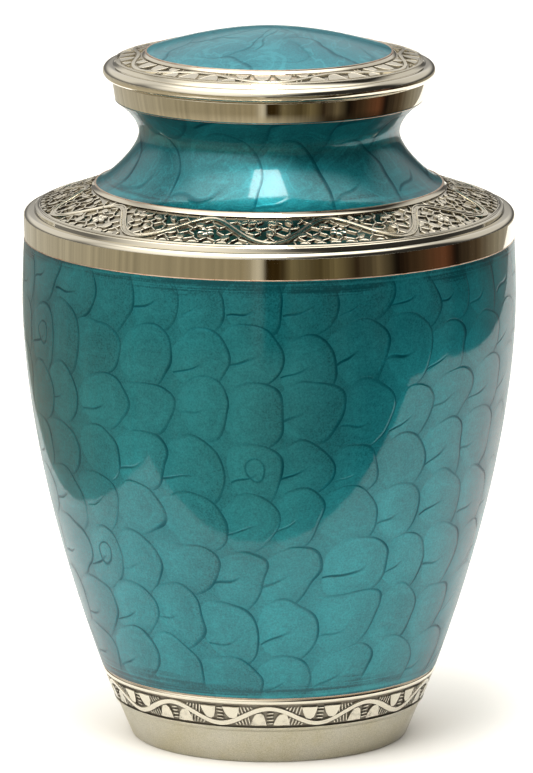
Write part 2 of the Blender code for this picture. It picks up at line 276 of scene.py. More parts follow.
def mended(weld=True, outward=True):
    """Weld the double points of the active mesh, and turn its faces outwards."""
    bpy.ops.object.mode_set(mode="EDIT")
    bpy.ops.mesh.select_all(action="SELECT")
    if weld:
        bpy.ops.mesh.remove_doubles(threshold=MERGE_DISTANCE)
    if outward:
        bpy.ops.mesh.normals_make_consistent(inside=False)
    bpy.ops.object.mode_set(mode="OBJECT")


def turn(name, outline, segments):
    """A vertex is drawn along the outline, and the line is spun round the urn's axis."""
    bpy.ops.object.select_all(action="DESELECT")
    bpy.ops.mesh.primitive_plane_add(size=MM, location=(outline[0][0], 0, outline[0][1]))
    piece = bpy.context.object
    piece.name = piece.data.name = name
    bpy.ops.object.mode_set(mode="EDIT")
    bpy.ops.mesh.select_all(action="SELECT")
    bpy.ops.mesh.merge(type="CENTER")
    closing = outline[:1] if outline[0][0] > MERGE_DISTANCE else []
    for here, there in zip(outline, outline[1:] + closing):
        step = (there[0] - here[0], 0, there[1] - here[1])
        bpy.ops.mesh.extrude_region_move(TRANSFORM_OT_translate={"value": step})
    bpy.ops.mesh.select_all(action="SELECT")
    bpy.ops.mesh.remove_doubles(threshold=MERGE_DISTANCE)
    bpy.ops.mesh.spin(steps=segments, angle=2 * pi, center=(0, 0, 0), axis=(0, 0, 1))
    bpy.ops.object.mode_set(mode="OBJECT")
    mended()
    bpy.ops.object.transform_apply(location=True, rotation=True, scale=True)
    bpy.ops.object.shade_smooth_by_angle(angle=SHARP_ANGLE)
    return piece


def hand_over(piece, node, finish):
    """Give a finished piece its material and its place in the part."""
    piece.data.materials.clear()
    piece.data.materials.append(finish)
    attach(piece, "root")
    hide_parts(node)


class Stages:
    """Heights and curves of the urn that follow from its sizes."""

    def __init__(self, scene):
        t = self.t = scene.urn_turning
        self.fillet = t.foot_height + t.fillet
        self.lower_top = self.fillet + t.lower_height
        self.body_bottom = self.lower_top + t.bead
        self.body_top = self.body_bottom + t.body_height
        self.shoulder = self.body_top + t.band
        self.ledge = self.shoulder + t.ledge
        self.neck_foot = self.shoulder + t.shoulder_rise
        self.collar = self.neck_foot + t.neck_height
        self.mouth = self.collar + t.collar_height
        self.dome = lid_high.z - t.dome_height
        self.lid_ring = self.dome - t.lid_rim - t.lid_ring_rise
        self.lid_shelf = self.lid_ring - t.lid_step
        self.lid = self.lid_shelf - t.lid_edge

    def body(self, height):
        """The body's radius at a height over the bead."""
        t = self.t
        if height < t.widest_height:
            share = (t.widest_height - height) / t.widest_height
            return t.body_widest - (t.body_widest - t.body_bottom) * share ** BODY_CURVE
        share = (height - t.widest_height) / (t.body_height - t.widest_height)
        return t.body_widest - (t.body_widest - t.body_top) * share ** TOP_CURVE

    def neck(self, height):
        """The neck's radius at a height over its foot."""
        t = self.t
        if height < t.waist_height:
            share = (t.waist_height - height) / t.waist_height
            spread = (1 - NECK_LIP) * share ** NECK_CURVE + NECK_LIP * share ** NECK_LIP_CURVE
            return t.waist + (t.neck_foot - t.waist) * spread
        share = (height - t.waist_height) / (t.neck_height - t.waist_height)
        return t.waist + (t.collar_bottom - t.waist) * share ** TOP_CURVE

    def body_line(self, count):
        """Points down the body's outer side."""
        heights = [self.t.body_height * (1 - step / count) for step in range(count + 1)]
        return [(self.body(height), self.body_bottom + height) for height in heights]

    def neck_line(self, count):
        """Points down the neck's outer side, closer together where it flares out at its foot."""
        heights = [self.t.neck_height * (1 - step / count) ** 1.5 for step in range(count + 1)]
        return [(self.neck(height), self.neck_foot + height) for height in heights]

    def dome_line(self, count, drop=0.0):
        """Points from the middle of the dome down to its edge."""
        shares = [step / count for step in range(count + 1)]
        return [(self.t.dome_radius * share,
                 self.dome - drop + self.t.dome_height * (1 - share ** DOME_CURVE))
                for share in shares]


# ---- engraving ----

class Strip:
    """A straight run of the outline that carries an engraved ring, unrolled as a flat strip.

    On the strip x runs round the ring from a wave that bends outwards, y down from the ring's
    start, and z up from the cut ground.
    """

    def __init__(self, engraving, start, end, vine_width, waves, vine_angle):
        self.start, self.end = start, end
        self.depth = engraving.depth
        self.width = hypot(end[0] - start[0], end[1] - start[1])
        self.along = ((end[0] - start[0]) / self.width, (end[1] - start[1]) / self.width)
        self.out = (-self.along[1], self.along[0])
        self.waves = waves
        self.vine_angle = vine_angle
        self.vine_width = vine_width
        self.sway = (self.width - vine_width) / 2 - engraving.land
        self.length = pi * (start[0] + end[0])
        self.wave = self.length / waves

    def vine(self, x):
        """The y of the vine's middle at x."""
        return self.width / 2 + self.sway * cos(2 * pi * x / self.wave)

    def reach(self, x, side, gap):
        """The y at x where shapes in a hollow end, short of the vine by a gap."""
        return self.vine(x) + side * (self.vine_width / 2 + gap)

    def border(self, side, width):
        """The y where shapes in a hollow start; side -1 is at the strip's start."""
        return width if side < 0 else self.width - width

    def ground(self):
        """The outline of the cut ground with the borders' inner walls."""
        lean = 0.15 * MM
        return [self.start, self.at(lean, 0.0), self.at(self.width - lean, 0.0), self.end]

    def at(self, y, z):
        """(radius, height) of a place on the strip."""
        lift = z - self.depth
        return (self.start[0] + self.along[0] * y + self.out[0] * lift,
                self.start[1] + self.along[1] * y + self.out[1] * lift)

    def lay_round(self, piece):
        """Bend the flat strip into its ring, keeping each point's height as its relief.

        Blender's own bend needs a window, and this ring is a cone, so the points are laid by code.
        """
        relief = piece.data.attributes.new("relief", "FLOAT", "POINT")
        for vertex, mark in zip(piece.data.vertices, relief.data):
            mark.value = max(vertex.co.z / self.depth, 0.0)
            radius, height = self.at(vertex.co.y, vertex.co.z)
            turned = self.vine_angle + 2 * pi * vertex.co.x / self.length
            vertex.co = (radius * cos(turned), radius * sin(turned), height)


def boss(outline, top, lean):
    """A raised shape: a filled circle pulled to its outline, extruded, its walls leant in."""
    bpy.ops.object.select_all(action="DESELECT")
    bpy.ops.mesh.primitive_circle_add(vertices=len(outline), radius=MM, fill_type="NGON",
                                      location=(0, 0, 0))
    piece = bpy.context.object
    for vertex, place in zip(piece.data.vertices, outline):
        vertex.co = (*place, -SUNK)
    bpy.ops.object.mode_set(mode="EDIT")
    bpy.ops.mesh.select_all(action="SELECT")
    bpy.ops.mesh.extrude_region_move(
        TRANSFORM_OT_translate={"value": (0, 0, top + SUNK - lean / 2)})
    bpy.ops.mesh.inset(thickness=lean, depth=lean / 2)
    bpy.ops.object.mode_set(mode="OBJECT")
    mended(weld=False)
    return piece


def ribbon(strip, section, columns):
    """One wave of the vine: a grid bent to the wave, its rows folded to the cross-section."""
    bpy.ops.object.select_all(action="DESELECT")
    bpy.ops.mesh.primitive_grid_add(x_subdivisions=columns, y_subdivisions=len(section) - 1,
                                    size=1.0, location=(0, 0, 0))
    piece = bpy.context.object
    for vertex in piece.data.vertices:
        x = vertex.co.x * strip.wave
        across, up = section[round((vertex.co.y + 0.5) * (len(section) - 1))]
        slope = -strip.sway * 2 * pi / strip.wave * sin(2 * pi * x / strip.wave)
        steep = hypot(1, slope)
        vertex.co = (x - across * slope / steep, strip.vine(x) + across / steep, up)
    mended(outward=False)
    return piece


def copied(piece, matrix):
    """A copy with its own mesh, put elsewhere on the strip."""
    twin = piece.copy()
    twin.data = piece.data.copy()
    twin.data.transform(matrix)
    bpy.context.collection.objects.link(twin)
    return twin


def joined(pieces, name):
    """These pieces as one object."""
    bpy.ops.object.select_all(action="DESELECT")
    for piece in pieces:
        piece.select_set(True)
    bpy.context.view_layer.objects.active = pieces[0]
    bpy.ops.object.join()
    piece = bpy.context.object
    piece.name = piece.data.name = name
    return piece


def thrown_away(pieces):
    """Delete the patterns that only copies were taken from."""
    for piece in pieces:
        bpy.data.objects.remove(piece, do_unlink=True)


def bar(length, width, top):
    """A hatching stroke: a long narrow boss along x, from 0 to its length."""
    half = width / 2
    outline = [(0, -half * 0.4), (length * 0.2, -half), (length * 0.85, -half), (length, 0),
               (length * 0.85, half), (length * 0.2, half), (0, half * 0.4)]
    return boss(outline, top, width * 0.25)


def stretched(piece, start, end):
    """A copy of a one-millimetre stroke stretched between two points of the strip."""
    across = Vector((end[0] - start[0], end[1] - start[1]))
    turned = Matrix.Rotation(atan2(across.y, across.x), 4, "Z")
    longer = Matrix.Diagonal((across.length / MM, 1, 1, 1))
    return copied(piece, Matrix.Translation((*start, 0)) @ turned @ longer)


def leaf_outline(middle, half, near, far):
    """A leaf's outline in a hollow: broad at the border, narrow and rounded at the vine."""
    shape = ((-1.0, 0.02), (-0.45, 0.0), (0.5, 0.03), (1.0, 0.0), (0.86, 0.45),
             (0.62, 0.86), (0.25, 1.0), (-0.3, 0.93), (-0.6, 0.7), (-0.82, 0.4))
    return [(middle + share * half, near + (far - near) * reach) for share, reach in shape]


def hollow_leaves(strip, side, middle, border, gap, shares):
    """Leaves of one hollow, by their places and half widths as shares of the wave."""
    made = []
    for share, width in shares:
        x = middle + share * strip.wave
        outline = leaf_outline(x, width * strip.wave, border, strip.reach(x, side, gap))
        made.append(boss(outline, strip.depth, LEAF_LEAN))
    return made


def finish_ring(strip, wave, ground, name):
    """Copy one wave round the strip, lay it round the urn, and join it to its ground."""
    waves = [copied(wave, Matrix.Translation((strip.wave * step, 0, 0)))
             for step in range(strip.waves)]
    thrown_away([wave])
    vine = joined(waves, name)
    mended(weld=False)
    strip.lay_round(vine)
    ground.data.attributes.new("relief", "FLOAT", "POINT")
    piece = joined([vine, ground], name)
    mended()
    bpy.ops.object.shade_smooth_by_angle(angle=CARVED_SHARP_ANGLE)
    return piece


# ---- finishes ----

def connect(tree, made, inputs):
    """Link or set a node's inputs, which are given in their order or by name."""
    pairs = inputs.items() if isinstance(inputs, dict) else enumerate(inputs)
    for name, value in pairs:
        if isinstance(value, bpy.types.Node):
            value = value.outputs[0]
        if isinstance(value, bpy.types.NodeSocket):
            tree.links.new(value, made.inputs[name])
        else:
            made.inputs[name].default_value = value


def add(tree, kind, inputs=(), operation=None, **settings):
    """Add a shader node with its settings and links.

    A MapRange node's inputs are its value, the two ends it has, and the two ends it gets.
    """
    made = tree.nodes.new("ShaderNode" + kind)
    if operation:
        made.operation = operation
    for name, value in settings.items():
        setattr(made, name, value)
    connect(tree, made, inputs)
    return made


def new_finish(name):
    """A new material, add for its nodes, and the piece's own coordinates."""
    made = bpy.data.materials.new(name)
    made.use_nodes = True
    node = partial(add, made.node_tree)
    return made, node, node("TexCoord").outputs["Object"]


def finished(made, shade, **inputs):
    """Join a colour mix, and other inputs by name, to the material's shader."""
    shader = made.node_tree.nodes["Principled BSDF"]
    named = {name.replace("_", " "): value for name, value in inputs.items()}
    connect(made.node_tree, shader, {"Base Color": shade.outputs[2], **named})
    return made


def polished_nickel(metal):
    """Nickel plate on brass, polished on the lathe: a warm mirror with faint lines round it.

    The eye gets near-mirror reflections, a little blurred where hands and cloths have been.
    """
    made, node, place = new_finish("polished_nickel_plate")
    # Lathe lines are some 0.05 mm apart, too fine to show, so they are drawn 0.4 mm apart.
    lines = node("Mapping", {"Vector": place, "Scale": (20, 20, 2500)})
    lines = node("TexNoise", {"Vector": lines, "Scale": 1.0, "Detail": 2.0})
    smears = node("TexNoise", {"Vector": place, "Scale": 45.0, "Detail": 4.0})
    rough = node("MapRange", (smears, 0.35, 0.75, 0.02, 0.08))
    tone = node("MapRange", (smears, 0.3, 0.7, 0.0, 0.22))
    dull = tuple(value * 0.78 for value in metal.nickel)
    shade = node("Mix", {0: tone, 6: (*metal.nickel, 1), 7: (*dull, 1)}, data_type="RGBA")
    bump = node("Bump", {"Height": lines, "Strength": 0.03, "Distance": 0.05 * MM})
    return finished(made, shade, Roughness=rough, Normal=bump, Metallic=1.0)


def satin_nickel(metal):
    """Nickel plate on cast brass, fine blasted: a pale, soft sheen with cloudy mottling."""
    made, node, place = new_finish("satin_nickel_plate")
    clouds = node("TexNoise", {"Vector": place, "Scale": 70.0, "Detail": 6.0,
                               "Roughness": 0.65})
    # Blasting grit of 0.15 mm leaves pits that are drawn 0.35 mm wide so that they show.
    pits = node("TexNoise", {"Vector": place, "Scale": 2600.0, "Detail": 2.0})
    golden = tuple(a * b for a, b in zip(metal.satin, (0.95, 0.92, 0.82)))
    blend = node("MapRange", (clouds, 0.38, 0.68))
    shade = node("Mix", {0: blend, 6: (*metal.satin, 1), 7: (*golden, 1)}, data_type="RGBA")
    sparkle = node("MapRange", (pits, 0.3, 0.7, 0.78, 1.1))
    shade = node("Mix", {0: 1.0, 6: shade.outputs[2], 7: sparkle}, data_type="RGBA",
                 blend_type="MULTIPLY")
    rough = node("MapRange", (clouds, 0.3, 0.7, 0.36, 0.5))
    bump = node("Bump", {"Height": pits, "Strength": 0.4, "Distance": 0.04 * MM})
    return finished(made, shade, Roughness=rough, Normal=bump, Metallic=1.0)


def engraved_nickel(name, metal, ground_dark, ground_gloss):
    """Nickel plate over engraved brass: bright crowns, and brown wax and tarnish in the cuts.

    It follows the relief kept on the mesh, from 0 in the ground to 1 on the crowns.
    """
    made, node, place = new_finish(name)
    relief = node("Attribute", attribute_name="relief").outputs["Fac"]
    grime = node("TexNoise", {"Vector": place, "Scale": 420.0, "Detail": 5.0})
    grime = node("Math", (grime, 0.5), "SUBTRACT")
    level = node("Math", (relief, grime), "ADD")
    bright = node("MapRange", (level, *CROWN_RANGE, 1.0 - ground_dark, 1.0))
    shade = node("Mix", {0: bright, 6: (*metal.patina, 1), 7: (*metal.nickel, 1)},
                 data_type="RGBA")
    rough = node("MapRange", (level, *CROWN_RANGE, ground_gloss, 0.22))
    scratches = node("TexNoise", {"Vector": place, "Scale": 1500.0, "Detail": 2.0})
    bump = node("Bump", {"Height": scratches, "Strength": 0.2, "Distance": 0.03 * MM})
    return finished(made, shade, Roughness=rough, Normal=bump, Metallic=1.0)


def copper_line(metal):
    """Copper undercoat, laid bare where the enamel was ground back: a dull pink-brown line."""
    made, node, place = new_finish("bare_copper_edge")
    spots = node("TexNoise", {"Vector": place, "Scale": 260.0, "Detail": 3.0})
    shade = node("Mix", {0: spots, 6: (*metal.copper, 1), 7: (*metal.nickel, 1)},
                 data_type="RGBA")
    rough = node("MapRange", (spots, 0.0, 1.0, 0.2, 0.4))
    return finished(made, shade, Roughness=rough, Metallic=1.0)


def spun_brass(metal):
    """Bare brass sheet, spun over a former: yellow, with tool lines and brown tarnish."""
    made, node, place = new_finish("spun_brass")
    tool = node("Mapping", {"Vector": place, "Scale": (15, 15, 900)})
    tool = node("TexNoise", {"Vector": tool, "Scale": 1.0, "Detail": 3.0})
    tarnish = node("TexNoise", {"Vector": place, "Scale": 28.0, "Detail": 5.0})
    brown = tuple(value * 0.45 for value in metal.brass)
    blend = node("MapRange", (tarnish, 0.4, 0.75))
    shade = node("Mix", {0: blend, 6: (*metal.brass, 1), 7: (*brown, 1)}, data_type="RGBA")
    rough = node("MapRange", (tarnish, 0.0, 1.0, 0.28, 0.5))
    bump = node("Bump", {"Height": tool, "Strength": 0.3, "Distance": 0.08 * MM})
    return finished(made, shade, Roughness=rough, Normal=bump, Metallic=1.0)


def dab_lines(node, turn_share, row_place, count_of_row, seed):
    """How dark the dab lines, and the painted shadow just outside their rims, are at a place,
    and its place in the dab it lies in.

    The dabs stand in staggered rows round the urn. Each lies over its right neighbour, and each
    row over the one above, so the four that may reach a point are laid on from the last up.
    """
    darkness, mark = 0.0, BARE_MARK
    lowest = node("Math", (row_place, 0.5), "SUBTRACT")
    lowest = node("Math", (lowest,), "FLOOR")
    for above in (1.0, 0.0):
        row = node("Math", (lowest, above), "ADD")
        count = count_of_row(node, row)
        shift = node("Math", (row, seed), "ADD")
        shift = node("TexWhiteNoise", {"W": shift}, noise_dimensions="1D")
        shift = node("Math", (shift, ROW_WANDER), "MULTIPLY")
        shift = node("Math", (row, ROW_LEAN, shift), "MULTIPLY_ADD")
        across = node("Math", (turn_share, count, shift), "MULTIPLY_ADD")
        left = node("Math", (across, 0.5), "SUBTRACT")
        left = node("Math", (left,), "FLOOR")
        for beside in (1.0, 0.0):
            column = node("Math", (left, beside), "ADD")
            wrapped = node("Math", (column, count), "FLOORED_MODULO")
            chance = node("CombineXYZ", (wrapped, row, seed))
            chance = node("TexWhiteNoise", {"Vector": chance}, noise_dimensions="3D")
            luck = node("SeparateXYZ", (chance.outputs["Color"],)).outputs
            # From the dab's middle, in half widths across and half heights up.
            x = node("Math", (luck[0], DAB_WANDER[0], column), "MULTIPLY_ADD")
            x = node("Math", (across, x), "SUBTRACT")
            x = node("Math", (x, 1 / DAB_HALF_WIDTH, -DAB_MIDDLE[0] / DAB_HALF_WIDTH),
                     "MULTIPLY_ADD")
            y = node("Math", (luck[1], DAB_WANDER[1], row), "MULTIPLY_ADD")
            y = node("Math", (row_place, y), "SUBTRACT")
            y = node("Math", (y, DAB_MIDDLE[1]), "SUBTRACT")
            upper = node("Math", (y, 1 / DAB_UPPER), "MULTIPLY")
            lower = node("Math", (y, 1 / DAB_LOWER), "MULTIPLY")
            y = node("Math", (upper, lower), "MAXIMUM")
            reach = node("VectorMath", (node("CombineXYZ", (x, y)),), "LENGTH")
            reach = reach.outputs["Value"]
            inside = node("Math", (reach, 1.0), "LESS_THAN")
            # The rim's line is strongest at the top right and dies away down the left.
            facing = node("Math", (y, 0.25, x), "MULTIPLY_ADD")
            weight = node("MapRange", (facing, *RIM_SIDES))
            rim = node("MapRange", (reach, *RIM), interpolation_type="SMOOTHSTEP")
            rim = node("Math", (rim, weight), "MULTIPLY")
            # Just outside the rim a painted shadow falls on the dab beneath, strongest at the top
            # right.
            shadow = node("MapRange", (reach, *SHADOW))
            shadow = node("Math", (shadow, weight), "MULTIPLY")
            # The thumb's drag leaves a short wavy line at the lower left of most dabs.
            wave = node("Math", (x, DRAG_WAVES), "MULTIPLY")
            wave = node("Math", (wave,), "SINE")
            drag = node("Math", (x, DRAG_SLOPE, DRAG_LOW), "MULTIPLY_ADD")
            drag = node("Math", (wave, DRAG_SWING, drag), "MULTIPLY_ADD")
            off = node("Math", (y, drag), "SUBTRACT")
            off = node("Math", (off,), "ABSOLUTE")
            tick = node("MapRange", (off, *DRAG_WIDTH), interpolation_type="SMOOTHSTEP")
            fade = node("MapRange", (x, *DRAG_FADE))
            keep = node("MapRange", (luck[2], *DRAG_CHANCE))
            tick = node("Math", (tick, fade), "MULTIPLY")
            tick = node("Math", (tick, keep), "MULTIPLY")
            # Now and then the thumb was turned, which leaves a small ring.
            loop = node("Math", (reach, RING_SIZE), "SUBTRACT")
            loop = node("Math", (loop,), "ABSOLUTE")
            loop = node("MapRange", (loop, *RING_WIDTH))
            seldom = node("Math", (luck[0], RING_CHANCE), "GREATER_THAN")
            loop = node("Math", (loop, seldom), "MULTIPLY")
            drawn = node("Math", (rim, tick), "MAXIMUM")
            drawn = node("Math", (drawn, loop), "MAXIMUM")
            beneath = node("Math", (darkness, shadow), "MAXIMUM")
            darkness = node("Mix", {0: inside, 2: beneath, 3: drawn})
            here = node("CombineXYZ", (reach, x, luck[2]))
            mark = node("Mix", {0: inside, 4: mark, 5: here}, data_type="VECTOR").outputs[1]
    return darkness, mark


def pearl_enamel(name, enamel, deep, pale, height_of_base, count_of_row, row, seed, lines,
                 wisp, edges):
    """Pearl enamel fired on brass and lacquered: soft metallic depth under a wet, clear gloss.

    The eye gets teal that turns paler where the flakes catch the light, fine speckle, streaks
    where the colour was wiped, dark lines where the dabs pushed the pigment together, and painted
    shadow just outside each dab's rim.
    """
    made, node, place = new_finish(name)
    drift = node("TexNoise", {"Vector": place, "Scale": 24.0, "Detail": 2.0})
    bend = node("VectorMath", (drift.outputs["Color"], (0.5, 0.5, 0.5)), "SUBTRACT")
    bend = node("VectorMath", {0: bend, "Scale": 0.02}, "SCALE")
    moved = node("VectorMath", (place, bend), "ADD")
    across, back, height = node("SeparateXYZ", (moved,)).outputs
    front = node("Math", (back, -1.0), "MULTIPLY")
    turned = node("Math", (across, front), "ARCTAN2")
    turn_share = node("Math", (turned, 1 / (2 * pi)), "MULTIPLY")
    row_place = node("Math", (height, 1 / row, -height_of_base / row), "MULTIPLY_ADD")
    drawn, mark = dab_lines(node, turn_share, row_place, count_of_row, seed)
    # Along its edges the colour was cut in with a brush, which wiped the dabs away.
    low = node("MapRange", (height, edges[0] + 2.5 * MM, edges[0] + 6 * MM, 1.0, 0.0))
    high = node("MapRange", (height, edges[1] - 4.5 * MM, edges[1] - 2 * MM))
    brushed = node("Math", (low, high), "MAXIMUM")
    darkness = node("Math", (brushed, -0.8, 1.0), "MULTIPLY_ADD")
    darkness = node("Math", (drawn, darkness), "MULTIPLY")
    # The thumb's skin leaves streaks that follow the dab's rim.
    dragged = node("VectorMath", (mark, (5.0, 0.8, 9.0)), "MULTIPLY")
    dragged = node("TexNoise", {"Vector": dragged, "Scale": 1.0, "Detail": 3.0})
    mark = node("SeparateXYZ", (mark,)).outputs
    tone = node("Math", (mark[2], 0.4, 0.3), "MULTIPLY_ADD")
    tone = node("Math", (dragged, 1.8, tone), "MULTIPLY_ADD")
    # Each dab is darker towards its right side: painted shade inside its rim.
    tone = node("Math", (mark[1], -0.8, tone), "MULTIPLY_ADD")
    # Pearl flakes of 0.05 mm are drawn 0.5 mm wide, and the wiped streaks 3 mm apart.
    flakes = node("TexNoise", {"Vector": place, "Scale": 1500.0, "Detail": 3.0,
                               "Roughness": 0.7})
    clouds = node("TexNoise", {"Vector": moved, "Scale": 14.0, "Detail": 3.0})
    streaks = node("Mapping", {"Vector": moved, "Scale": (60, 60, 420)})
    streaks = node("TexNoise", {"Vector": streaks, "Scale": 1.0, "Detail": 5.0,
                                "Distortion": 1.2})
    # Narrow pale wisps, where the pearl gathered along the drag of the thumb.
    wisps = node("TexNoise", {"Vector": moved, "Scale": 38.0, "Detail": 3.0,
                              "Distortion": 2.5})
    wisps = node("Math", (wisps, 0.5), "SUBTRACT")
    wisps = node("Math", (wisps,), "ABSOLUTE")
    wisps = node("MapRange", (wisps, 0.0, 0.04, wisp, 0.0))
    strokes = node("Mapping", {"Vector": place, "Scale": (12, 12, 900)})
    strokes = node("TexNoise", {"Vector": strokes, "Scale": 1.0, "Detail": 3.0})
    strokes = node("Math", (strokes, 3.2, -1.85), "MULTIPLY_ADD")
    strokes = node("Math", (strokes, brushed), "MULTIPLY")
    mixed = node("Math", (clouds, 0.9, -0.55), "MULTIPLY_ADD")
    for layer_of_tone in (wisps, strokes):
        mixed = node("Math", (layer_of_tone, mixed), "ADD")
    for layer_of_tone, weight in ((flakes, 1.5), (streaks, 0.25), (tone, 0.22)):
        mixed = node("Math", (layer_of_tone, weight, mixed), "MULTIPLY_ADD")
    body = node("MapRange", (mixed, 0.55, 1.5))
    shade = node("Mix", {0: body, 6: (*deep, 1), 7: (*pale, 1)}, data_type="RGBA")
    worn = node("TexNoise", {"Vector": place, "Scale": 90.0, "Detail": 2.0})
    worn = node("MapRange", (worn, 0.3, 0.7, 0.4 * lines, lines))
    # The line colour goes on the dab lines of pigment and on the painted shadow outside each rim.
    lines_and_painted_shade = node("Math", (darkness, worn), "MULTIPLY")
    shade = node("Mix", {0: lines_and_painted_shade, 6: shade.outputs[2], 7: (*enamel.line, 1)},
                 data_type="RGBA")
    rough = node("MapRange", (flakes, 0.3, 0.7, 0.3, 0.46))
    relief = node("Math", (flakes, 0.25, darkness), "MULTIPLY_ADD")
    bump = node("Bump", {"Height": relief, "Strength": 0.35, "Distance": 0.25 * MM},
                invert=True)
    uneven = node("TexNoise", {"Vector": place, "Scale": 75.0, "Detail": 2.0})
    # The dabs' rims stand out a little under the gloss, which is broken there.
    uneven = node("Math", (darkness, -0.6, uneven), "MULTIPLY_ADD")
    ripple = node("Bump", {"Height": uneven, "Strength": 0.5, "Distance": 0.12 * MM})
    facing = node("LayerWeight", {"Blend": 0.5}).outputs["Facing"]
    gloss = node("MapRange", (facing, 0.45, 0.95, 1.0, 0.4))
    whole = node("Math", (lines_and_painted_shade, -0.75, 1.0), "MULTIPLY_ADD")
    gloss = node("Math", (gloss, whole), "MULTIPLY")
    return finished(made, shade, Roughness=rough, Normal=bump, Metallic=0.68,
                    Specular_IOR_Level=0.1, Specular_Tint=(*pale, 1), Coat_Weight=gloss,
                    Coat_Normal=ripple, Coat_Roughness=0.06, Coat_IOR=1.4)


# ---- the pieces ----

class URN_OT_foot(bpy.types.Operator):
    """Turn the satin foot with the hollow under it"""

    bl_idname = "urn.foot"
    bl_label = "Foot"

    def execute(self, context):
        t, s = context.scene.urn_turning, Stages(context.scene)
        inner = t.foot_radius - t.foot_ring
        floor = t.foot_recess + t.wall
        outside = [(t.lower_bottom, s.fillet), (t.lower_bottom - 0.25 * MM, s.fillet - 0.8 * MM),
                   (t.foot_top + 0.35 * MM, t.foot_height + 0.25 * MM),
                   (t.foot_top, t.foot_height)]
        side = [(t.foot_top - (t.foot_top - t.foot_radius - 0.7 * MM) * share,
                 t.foot_height - (t.foot_height - 0.7 * MM) * share)
                for share in (0.03, 0.5, 1.0)]
        bottom = [(t.foot_radius + 0.35 * MM, 0.2 * MM), (t.foot_radius, 0.0), (inner, 0.0),
                  (inner - 0.2 * MM, t.foot_recess - 0.3 * MM),
                  (inner - 0.6 * MM, t.foot_recess), (0.0, t.foot_recess)]
        inside = [(t.lower_bottom - 0.7 * MM - t.wall, s.fillet),
                  (t.foot_radius + 1.3 * MM - t.wall, floor), (0.0, floor)]
        piece = turn("foot", inside[::-1] + outside + side + bottom, t.segments)
        hand_over(piece, "vessel", satin_nickel(context.scene.urn_metal))
        return {"FINISHED"}


class URN_OT_lower_ring(bpy.types.Operator):
    """Engrave the lower ring: a flat vine with two leaves and hatching in every hollow"""

    bl_idname = "urn.lower_ring"
    bl_label = "Lower engraved ring"

    def execute(self, context):
        t, s, e = context.scene.urn_turning, Stages(context.scene), context.scene.urn_engraving
        strip = Strip(e, (t.lower_top, s.lower_top), (t.lower_bottom, s.fillet), e.lower_vine,
                      e.lower_waves, e.lower_angle)
        half, top = e.lower_vine / 2, e.depth
        section = [(0, -SUNK), (-half - 0.3 * MM, -SUNK), (-half - 0.15 * MM, top - 0.1 * MM),
                   (-half, top), (half, top), (half + 0.15 * MM, top - 0.1 * MM),
                   (half + 0.3 * MM, -SUNK), (0, -SUNK)]
        shapes = [ribbon(strip, section, 24)]
        stroke = bar(MM, e.stroke, top * 0.85)
        for side, middle in ((-1, 0.0), (1, strip.wave / 2)):
            shapes += self.hollow(strip, stroke, side, middle)
        thrown_away([stroke])
        wave = joined(shapes, "lower_wave")
        ground = turn("lower_ground", layer(strip.ground(), 1.2 * MM), t.segments)
        piece = finish_ring(strip, wave, ground, "lower_ring")
        hand_over(piece, "vessel", engraved_nickel("engraved_nickel_lower",
                                                   context.scene.urn_metal, 0.78, 0.4))
        return {"FINISHED"}

    def hollow(self, strip, stroke, side, middle):
        """Leaves and hatching of the hollow on one side of the vine; -1 is the ring's start."""
        border, gap = strip.border(side, 1.0 * MM), 0.45 * MM
        made = hollow_leaves(strip, side, middle, border, gap,
                             ((-0.105, 0.078), (0.125, 0.084)))
        for step in range(6):
            away = (0.19 + step * 0.032) * strip.wave
            for sign in (1, -1):
                root = middle + sign * away
                tip = root + sign * 0.018 * strip.wave
                end = strip.reach(tip, side, gap)
                if abs(end - border) > 0.9 * MM:
                    made.append(stretched(stroke, (root, border), (tip, end)))
        for step in range(4):
            y = border + (strip.reach(middle, side, gap) - border) * (0.12 + step * 0.24)
            made.append(stretched(stroke, (middle - 0.022 * strip.wave, y),
                                  (middle + 0.045 * strip.wave, y - side * 0.2 * MM)))
        return made


class URN_OT_body(bpy.types.Operator):
    """Turn the bead and the enamelled body over it"""

    bl_idname = "urn.body"
    bl_label = "Enamelled body"

    def execute(self, context):
        scene = context.scene
        t, s, metal, enamel = scene.urn_turning, Stages(scene), scene.urn_metal, scene.urn_enamel
        bead_radius = (t.lower_top + t.body_bottom) / 2
        bulge = arc((bead_radius - 1.05 * MM, s.body_bottom - t.bead / 2), 1.3 * MM, 75, -75, 9)
        line = ([(t.body_bottom - 0.15 * MM, s.body_bottom)] + bulge
                + [(t.lower_top - 0.1 * MM, s.lower_top)])
        inner = t.lower_top - 1.6 * MM
        bead = turn("bead", line + [(inner, s.lower_top), (inner, s.body_bottom)], t.segments)
        hand_over(bead, "vessel", polished_nickel(metal))
        body = turn("body_enamel", layer(s.body_line(48), SHEET), t.segments)

        def count_of_row(node, row):
            share = node("MapRange", (row, 0.0, t.widest_height / enamel.row, 1.0, 0.0))
            swell = node("Math", (share, BODY_CURVE), "POWER")
            radius = node("Math", (swell, t.body_bottom - t.body_widest, t.body_widest),
                          "MULTIPLY_ADD")
            count = node("Math", (radius, 2 * pi / enamel.dab), "MULTIPLY")
            return node("Math", (count,), "ROUND")

        finish = pearl_enamel("pearl_enamel_body", enamel, enamel.deep, enamel.pale,
                              s.body_bottom, count_of_row, enamel.row, seed=7.0, lines=1.0,
                              wisp=0.08, edges=(s.body_bottom, s.body_top))
        hand_over(body, "vessel", finish)
        return {"FINISHED"}


